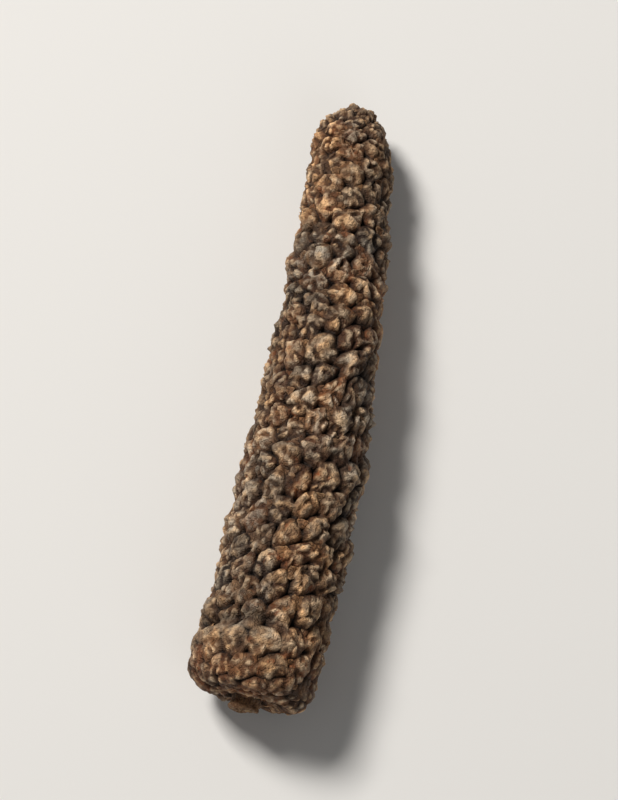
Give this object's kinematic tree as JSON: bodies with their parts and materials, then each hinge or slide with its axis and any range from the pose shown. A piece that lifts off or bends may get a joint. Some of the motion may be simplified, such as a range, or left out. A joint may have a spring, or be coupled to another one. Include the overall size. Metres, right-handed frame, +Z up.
{
  "type": "dried long pepper",
  "caption": "Dried long pepper: a slim, gently bowed spike of small fused fruitlets in spiral rows, blunt at the broken stalk and rounded at the tip, lying on its side.",
  "frame": {"origin": "middle of the spike's footprint, on the surface that it lies on", "axes": "+X along the spike from its stalk end to its tip, +Z up, the spike bows towards -Y"},
  "size_m": [0.0422, 0.0092, 0.0084],
  "materials": {
    "dried_spike": "matte"
  },
  "bodies": {
    "root": {"long_pepper": "dried_spike"}
  },
  "joints": []
}
